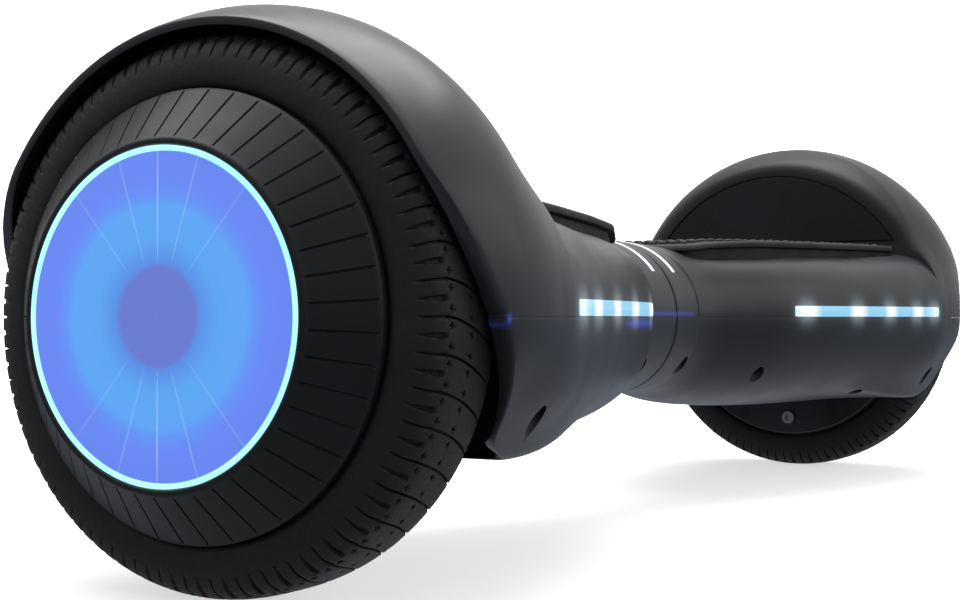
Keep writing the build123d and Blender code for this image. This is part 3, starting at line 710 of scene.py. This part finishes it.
for side in ("left", "right"):
    s = 1 if side == "right" else -1
    top = shell(side, True)
    tools = [prism([(s * x, y) for x, y in pad_outline(0.5)], 0, 60, bottom=lambda x: pad_top(x) - 8.5)]
    hd = half_disc(s * 212.0, s * 214.4, 77.0, 40.0)
    tools.append(hd)
    if side == "right":
        tools.append(([turn_about(p, PORT, 15.0) for p in [(-8.4, -1.6, 7.0), (8.4, -1.6, 7.0), (8.4, 9.0, 7.0), (-8.4, 9.0, 7.0), (-8.4, -1.6, 15.4), (8.4, -1.6, 15.4), (8.4, 9.0, 15.4), (-8.4, 9.0, 15.4)]],
                      [(0, 1, 2, 3), (4, 7, 6, 5), (0, 4, 5, 1), (1, 5, 6, 2), (2, 6, 7, 3), (3, 7, 4, 0)]))
    cut(top, tools)
    give(top, SHELL)
    low = shell(side, False)
    tools = []
    for x, y in SCREWS:
        for q in (1, -1):
            tools.append(cylinder((s * x, q * y, -70), (s * x, q * y, -12.0), 3.3, 36))
    cut(low, tools)
    tools = []
    if side == "right":
        cut(low, [cylinder(turn_about((0, -12, 0), PORT, 15.0), turn_about((0, 9, 0), PORT, 15.0), 11.0, 48)])
        tools.append(([turn_about(p, PORT, 15.0) for p in [(-8.4, -1.6, 7.0), (8.4, -1.6, 7.0), (8.4, 9.0, 7.0), (-8.4, 9.0, 7.0), (-8.4, -1.6, 15.4), (8.4, -1.6, 15.4), (8.4, 9.0, 15.4), (-8.4, 9.0, 15.4)]],
                      [(0, 1, 2, 3), (4, 7, 6, 5), (0, 4, 5, 1), (1, 5, 6, 2), (2, 6, 7, 3), (3, 7, 4, 0)]))
        by = (blo.y + bhi.y) * 500
        bx, bz = (blo.x + bhi.x) * 500, (blo.z + bhi.z) * 500 - AXLE * 1000
        d = (-math.sin(math.radians(18)), math.cos(math.radians(18)))
        cut(low, [cylinder((bx - d[0] * 14, by - d[1] * 14, bz), (bx + d[0] * 14, by + d[1] * 14, bz), 9.0, 48)])
        cut(low, tools)
    give(low, SHELL)

    # dark panel let into the fender's inboard wall, with a rolled edge
    V, F = half_disc(s * 213.45, s * 214.4, 76.5, 40.6)
    pan = build(f"{side}_fender_inlay", V, F, f"{side}_chassis", (f"{side}_fender_panel",), 30.0)
    outward(pan)
    bv = pan.modifiers.new("bevel", "BEVEL")
    bv.width, bv.segments, bv.limit_method = 0.0004, 3, "ANGLE"
    give(pan, PANEL)

    # light strip lens, standing just proud of the casing
    xs = np.linspace(80.5, 208.7, 66)
    prof = [(0.35, -1.0), (0.35, 0.05), (0.55, 0.22), (2.8, 0.30), (5.1, 0.22), (5.3, 0.05), (5.3, -1.0)]
    V = []
    for i, x in enumerate(xs):
        e = 0.25 if i in (0, len(xs) - 1) else 0.0
        for z, o in prof:
            a = math.degrees(math.asin(z / 85.0)) if z else 0.0
            for _ in range(3):
                r = skin_r(x, a)
                a = math.degrees(math.asin(z / r))
            V.append((s * x, -(math.sqrt(r * r - z * z) + o - e), z))
    F = grid_faces(len(xs), len(prof), wrap_c=True) + [tuple(range(len(prof))), tuple(reversed(range((len(xs) - 1) * len(prof), len(xs) * len(prof))))]
    st = build(f"{side}_strip_lens", V, F, f"{side}_chassis", (f"{side}_led_strip",), 40.0)
    outward(st)
    give(st, STRIP)

    # lit arc on the collar
    V = []
    aa = np.radians(np.linspace(90 - 54, 90 + 54, 73))
    prof = [(9.3, 32.0), (9.3, 33.02), (9.5, 33.14), (11.9, 33.14), (12.1, 33.02), (12.1, 32.0)]
    for a in aa:
        for x, r in prof:
            V.append((s * x, -r * math.cos(a), r * math.sin(a)))
    F = grid_faces(len(aa), len(prof), wrap_c=True) + [tuple(range(len(prof))), tuple(reversed(range((len(aa) - 1) * len(prof), len(aa) * len(prof))))]
    ar = build(f"{side}_collar_arc", V, F, f"{side}_chassis", (f"{side}_indicator_arc",), 40.0)
    outward(ar)
    give(ar, ARC)

    # foot pad: a moulded mat with a rolled edge and raised studs
    rings = [(2.4, -6.1), (2.4, -3.3), (0.7, -3.0), (0.15, -2.75), (0.0, -2.4), (0.0, -1.3), (0.12, -0.8), (0.45, -0.35), (1.0, -0.06), (1.6, 0.0), (4.0, 0.0), (4.25, -0.35), (5.0, -0.35), (5.25, 0.0)]
    V, F = [], []
    for off, dz in rings:
        for px, py in pad_outline(-off):
            end = step(66.0, 38.0, px)
            extra = (-1.6 * end * max(0.0, 1 - off / 3.0) ** 2) if dz > -2 else 0.0
            V.append((s * px, py, (mat_top(px) + dz + extra) if dz > -4 else pad_top(px) + dz))
    m_ = len(V) // len(rings)
    F = grid_faces(len(rings), m_, wrap_c=True)
    last = V[-m_:]
    centre = len(V)
    half = m_ // 2
    F.append(tuple((len(rings) - 1) * m_ + i for i in range(m_)))
    F.append(tuple(reversed(range(m_))))
    mat_ob = build(f"{side}_pad_mat", V, F, f"{side}_pad", (f"{side}_foot_pad",), 40.0)
    outward(mat_ob)
    give(mat_ob, RUBBER)
    V, F = [], []
    inner = pad_outline(-6.6)

    def inside(px, py):
        c, j = False, len(inner) - 1
        for i in range(len(inner)):
            if (inner[i][1] > py) != (inner[j][1] > py) and px < (inner[j][0] - inner[i][0]) * (py - inner[i][1]) / (inner[j][1] - inner[i][1]) + inner[i][0]:
                c = not c
            j = i
        return c
    row = 0
    x = 44.0
    while x < 204.0:
        y = -70.2 + (2.6 if row % 2 else 0.0)
        while y < 70.0:
            if inside(x, y):
                k = len(V)
                z = mat_top(x)
                for rr, dz in ((1.75, -0.3), (1.6, 0.45), (1.15, 0.8), (0.5, 0.92)):
                    V += [(s * (x + rr * math.cos(math.radians(45 * i + 22.5))), y + rr * math.sin(math.radians(45 * i + 22.5)), z + dz) for i in range(8)]
                F += [tuple(k + f for f in q) for q in grid_faces(4, 8, wrap_c=True)] + [tuple(k + 24 + i for i in range(8)), tuple(k + i for i in reversed(range(8)))]
            y += 5.2
        x += 4.5
        row += 1
    studs = build(f"{side}_pad_studs", V, F, f"{side}_pad", (), 30.0)
    outward(studs)
    give(studs, RUBBER)

    # ---------------- wheel
    w = f"{side}_wheel"

    # tyre: columns follow the curved grooves, so that their edges stay crisp
    MID, EDGE, N_P = 256.55, 12.2, 50
    half = [(0.0, 82.5), (6.0, 82.42), (9.0, 82.15), (11.0, 81.8), (12.2, 81.42), (13.4, 80.85), (14.6, 79.95), (15.7, 78.8), (16.6, 77.4), (17.35, 75.8), (17.9, 74.0), (18.3, 71.8),
            (18.45, 69.4), (18.3, 67.3), (17.6, 66.0), (16.45, 65.4), (16.45, 60.2)]
    hu, hr = [p[0] for p in half], [p[1] for p in half]
    arc = [0.0]
    for i in range(1, len(half)):
        arc.append(arc[-1] + math.hypot(hu[i] - hu[i - 1], hr[i] - hr[i - 1]))
    at_u = lambda u_: float(np.interp(u_, hu[:13], arc[:13]))
    ss = sorted(set([0.0, 1.0] + [at_u(v) for v in (1.55, 1.85, 2.15, 2.45, 3.6, 4.8, 6.0, 7.2, 8.4, 9.6, 10.7, 11.1, 11.3, 11.55, 11.75, 12.0, 12.12, 12.32, 12.45, 12.8, 13.4, 14.0, 14.6, 15.2, 15.7, 16.2, 16.6, 17.0, 17.2, 17.35, 17.5, 17.7, 17.9)]
                    + [at_u(17.9) + v for v in (1.2, 2.4, 3.6, 4.8)] + arc[13:]))
    pos = lambda q: (float(np.interp(q, arc, hu)), float(np.interp(q, arc, hr)))
    rows_p = [(u_, r_) for u_, r_ in [pos(q) for q in reversed(ss)]] + [(-pos(q)[0], pos(q)[1]) for q in ss[1:]]
    PU, PR = np.array([p[0] for p in rows_p]), np.array([p[1] for p in rows_p])
    rows = len(rows_p)
    offs = [0.0, 0.22, 0.46, 1.15, 1.35, 1.95, 2.15, 2.45, 2.65, 3.2, 3.4, 4.15, 4.4, 4.7, 5.184]
    offs = [-o for o in reversed(offs[1:-1])] + offs
    cols = len(offs) * N_P
    D = np.tile(np.array(offs), N_P)
    BASE = np.repeat(np.arange(N_P) * 2 * np.pi / N_P, len(offs)) + D / R_TYRE
    U = np.repeat(PU[:, None], cols, 1)
    RR0 = np.repeat(PR[:, None], cols, 1)
    v_ = np.clip((EDGE - U) / (2 * EDGE), 0, 1)
    T = BASE[None, :] + 0.118 * (0.45 * v_ + 0.55 * v_ ** 2)
    DD = np.abs(np.repeat(D[None, :], rows, 0))
    AU = np.abs(U)

    def soft(d, hw, edge):
        return np.clip((hw - d) / edge + 0.5, 0, 1)
    crown_zone = soft(AU, 12.38, 0.2)
    depth = 1.5 * soft(DD, 0.34, 0.26) * crown_zone
    for ring in (2.0, 11.4):
        signed = np.abs(U - ring) if ring < 5 else np.abs(AU - ring)
        up = soft(signed, 0.26, 0.22) * soft(np.abs(DD - 2.3), 1.02, 0.22)
        across = soft(np.abs(DD - 2.3), 0.26, 0.22) * soft(signed, 0.72, 0.25)
        depth = np.maximum(depth, 1.0 * np.maximum(up, across))
    taper = np.clip((RR0 - 74.6) / 6.0, 0, 1)
    low_end = np.clip((RR0 - 74.3) / 0.9, 0, 1) * (AU > 12.4)
    far = 5.184 - DD
    wide = np.clip((0.24 + 0.62 * taper - far) / 0.26 + 0.5, 0, 1) * low_end * soft(-(AU - 12.9), 0.0, 0.5)
    thin = np.clip((0.20 + 0.2 * taper - DD) / 0.24 + 0.5, 0, 1) * low_end
    depth = np.maximum(depth, (0.5 + 0.9 * taper) * wide)
    depth = np.maximum(depth, (0.45 + 0.9 * taper) * thin)
    gu, gr = np.gradient(PU), np.gradient(PR)
    ln = np.hypot(gu, gr) + 1e-9
    nu, nr = -gr / ln, gu / ln
    if nr[rows // 2] < 0:
        nu, nr = -nu, -nr
    XX = MID + U - depth * nu[:, None]
    RR = RR0 - depth * nr[:, None]
    V = np.stack([s * XX, RR * np.cos(T), RR * np.sin(T)], -1).reshape(-1, 3)
    ty = build(f"{side}_tyre_tread", V, grid_faces(rows, cols, wrap_r=True, wrap_c=True), w, (f"{side}_tyre",), 42.0)
    outward(ty)
    give(ty, TYRE)

    # conical hub cover with 45 fine radial grooves
    cone = [(273.2, 61.5), (273.2, 64.9), (274.0, 65.3), (275.6, 65.6), (276.6, 65.5), (277.3, 65.0), (277.9, 64.3), (279.0, 63.1), (281.0, 60.9), (283.0, 58.75), (285.0, 56.6),
            (287.0, 54.45), (289.0, 52.3), (290.2, 51.0), (290.8, 50.45), (291.3, 50.0), (291.55, 49.5), (291.6, 48.9), (291.5, 48.45), (291.2, 48.15), (288.9, 48.1), (288.9, 47.0), (286.9, 47.0),
            (286.9, 48.4), (275.4, 61.0)]
    offs = [-2.6, -1.3, -0.55, -0.42, -0.24, 0.0, 0.24, 0.42, 0.55, 1.3, 2.6, 4.0]
    th, gd = [], []
    for i in range(45):
        for o in offs:
            th.append(math.radians(8.0 * i + o))
            gd.append(1.0 if abs(o) < 0.1 else (0.75 if abs(o) < 0.3 else 0.0))
    V = []
    for x, r in cone:
        g = 0.55 if (277.5 < x < 290.5 and r > 50.5) else 0.0
        for t_, d in zip(th, gd):
            V.append((s * (x - g * d * 0.74), (r - g * d * 0.67) * math.cos(t_), (r - g * d * 0.67) * math.sin(t_)))
    co = build(f"{side}_hub_cone", V, grid_faces(len(cone), len(th), wrap_r=True, wrap_c=True), w, (f"{side}_hub_cover",), 28.0)
    outward(co)
    give(co, HUB)

    turned(f"{side}_light_ring", rounded([(289.2, 46.45), (291.5, 46.45), (291.5, 47.95), (289.2, 47.95)], 0.35), w, (f"{side}_led_ring",), 240, side=s)
    give(bpy.data.objects[f"{side}_light_ring"], RING)
    disc = [(289.1, 0.6), (289.1, 46.3), (290.9, 46.4), (291.15, 46.2), (291.25, 45.6), (291.28, 40.0), (291.28, 30.0), (291.28, 20.0), (291.28, 10.0), (291.28, 3.0), (291.28, 0.6)]
    turned(f"{side}_light_disc", disc, w, (f"{side}_led_disc",), 240, side=s)
    give(bpy.data.objects[f"{side}_light_disc"], DISC)

for n, m in (("led_board", PCB), ("hub_rim", DARKSTEEL), ("motor_cover", DARKSTEEL), ("cover_screws", STEEL), ("magnets", STEEL), ("wheel_bearings", STEEL), ("shell_screws", DARKSTEEL),
             ("axle_clamp", ALU), ("clamp_screws", STEEL), ("axle", STEEL), ("stator", COPPER), ("gyro_board", PCB), ("motor_cable", BLACK), ("frame", ALU), ("pad_plungers", RUBBER)):
    for side in ("left", "right"):
        give(NODES[f"{side}_{n}"], m)
for n, m in (("pivot_shaft", STEEL), ("pivot_circlip", STEEL), ("bridge_harness", BLACK), ("main_board", PCB), ("pivot_bushes", BRONZE), ("battery_pack", WRAP), ("charge_port", BLACK),
             ("button_bezel", BLACK), ("power_button", GREY), ("charge_port_cap", RUBBER)):
    give(NODES[n], m)

# ------------------------------------------------------------------ floor, light and camera
def stage_mesh(name, V, F, colour, rough):
    me = bpy.data.meshes.new(name)
    me.from_pydata(V, [], F)
    ob = bpy.data.objects.new(name, me)
    scene.collection.objects.link(ob)
    m, nt, bs, tc = mat(name + "_surface")
    n = noise(nt, tc, 3.0, 3.0)
    nt.links.new(ramp(nt, n.outputs["Fac"], [(0.3, tuple(c * 0.97 for c in colour)), (0.7, colour)]).outputs["Color"], bs.inputs["Base Color"])
    bs.inputs["Roughness"].default_value = rough
    give(ob, m)
    return ob


pts = [(-6.0, -0.0), (3.2, 0.0)]
arc_pts = [(3.2 + 1.5 * math.sin(a), 1.5 - 1.5 * math.cos(a)) for a in np.linspace(0, math.pi / 2, 16)]
line = [(-7.0, 0.0)] + arc_pts + [(4.7, 6.0)]
V = []
yaw = math.radians(29.72)
for d, z in line:
    for w_ in (-9.0, 9.0):
        V.append((d * math.cos(yaw) - w_ * math.sin(yaw), d * math.sin(yaw) + w_ * math.cos(yaw), z))
F = [(2 * i, 2 * i + 1, 2 * i + 3, 2 * i + 2) for i in range(len(line) - 1)]
floor = stage_mesh("studio_floor", V, F, (0.92, 0.92, 0.92), 0.8)
fb = next(n for n in floor.data.materials[0].node_tree.nodes if n.type == "BSDF_PRINCIPLED")
fb.inputs["Emission Color"].default_value = (1.0, 1.0, 1.0, 1.0)
fb.inputs["Emission Strength"].default_value = 0.62
fb.inputs["Specular IOR Level"].default_value = 0.0
floor.visible_diffuse = False
floor.visible_glossy = False

world = bpy.data.worlds.new("studio")
scene.world = world
world.use_nodes = True
wn = world.node_tree
bg = wn.nodes["Background"]
tcw = wn.nodes.new("ShaderNodeTexCoord")
sp = wn.nodes.new("ShaderNodeSeparateXYZ")
wn.links.new(tcw.outputs["Generated"], sp.inputs["Vector"])
up_ = mapped(wn, sp.outputs["Z"], -1.0, 1.0, 0.0, 1.0)
cr = ramp(wn, up_.outputs["Result"], [(0.0, (0.31, 0.31, 0.33)), (0.25, (0.25, 0.26, 0.285)), (0.40, (0.155, 0.17, 0.205)), (0.485, (0.145, 0.16, 0.20)), (0.56, (0.41, 0.41, 0.41)), (0.75, (0.42, 0.42, 0.42)), (0.93, (0.62, 0.62, 0.62)), (1.0, (1.5, 1.5, 1.5))])
dt = wn.nodes.new("ShaderNodeVectorMath")
dt.operation = "DOT_PRODUCT"
dt.inputs[1].default_value = (0.87, 0.50, 0.0)
wn.links.new(tcw.outputs["Generated"], dt.inputs[0])
side_ = mapped(wn, dt.outputs["Value"], -0.9, 1.0, 0.40, 1.75)
mx = wn.nodes.new("ShaderNodeVectorMath")
mx.operation = "SCALE"
wn.links.new(cr.outputs["Color"], mx.inputs[0])
wn.links.new(side_.outputs["Result"], mx.inputs["Scale"])
wn.links.new(mx.outputs["Vector"], bg.inputs["Color"])
bg.inputs["Strength"].default_value = 1.0


def area(name, loc, target, size, power, colour=(1, 1, 1), size_y=None):
    l = bpy.data.lights.new(name, "AREA")
    l.energy, l.size, l.color = power, size, colour
    if size_y:
        l.shape, l.size_y = "RECTANGLE", size_y
    o = bpy.data.objects.new(name, l)
    scene.collection.objects.link(o)
    o.location = loc
    o.rotation_mode = "QUATERNION"
    o.rotation_quaternion = (Vector(target) - Vector(loc)).to_track_quat("-Z", "Y")
    return o


area("top_soft", (0.15, 0.3, 1.4), (-0.1, 0.0, 0.1), 2.0, 15.0, size_y=0.9)
area("front_soft", (0.2, -2.1, 0.95), (0.0, 0.0, 0.1), 3.4, 9.0, (0.98, 0.99, 1.0), size_y=1.4)
area("wall_wash", (1.2, 0.6, 2.6), (4.5, 2.5, 0.8), 2.5, 260.0)

cam_data = bpy.data.cameras.new("camera")
cam = bpy.data.objects.new("camera", cam_data)
scene.collection.objects.link(cam)
cam_data.sensor_width = 36.0
cam_data.lens = 61.52
cam_data.clip_start, cam_data.clip_end = 0.01, 50.0
cam.location = (-0.6441, -0.3052, AXLE - 0.00035)
yw, pt = math.radians(29.722), math.radians(0.6313)
look = Vector((math.cos(pt) * math.cos(yw), math.cos(pt) * math.sin(yw), math.sin(pt)))
cam.rotation_mode = "QUATERNION"
cam.rotation_quaternion = look.to_track_quat("-Z", "Y")
scene.camera = cam
